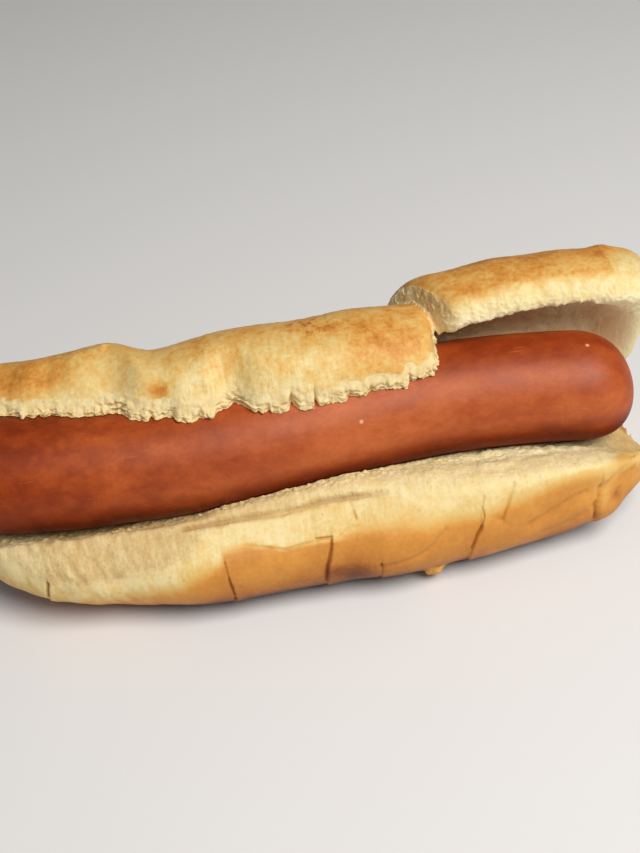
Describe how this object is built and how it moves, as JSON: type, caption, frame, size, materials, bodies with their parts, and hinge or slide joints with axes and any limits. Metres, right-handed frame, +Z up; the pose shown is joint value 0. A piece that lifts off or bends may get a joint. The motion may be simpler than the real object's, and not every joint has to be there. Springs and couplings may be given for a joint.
{
  "type": "hot dog",
  "caption": "Hot dog with a plain frankfurter in a soft split bun; the bun's upper half is torn across into two flaps, one folded over the sausage and one standing open.",
  "frame": {"origin": "middle of the bounding box on the ground, under the bun's flat underside", "axes": "+X along the bun to its end under the standing flap, +Y towards the bun's hinge, +Z up"},
  "size_m": [0.155, 0.055, 0.0564],
  "materials": {
    "bread": "soft baked bread, satin golden crust with pale crumb on the torn and cut edges",
    "frankfurter": "smooth reddish-brown cooked skin with a soft sheen"
  },
  "bodies": {
    "root": {"bun": "bread", "sausage": "frankfurter"}
  },
  "joints": []
}
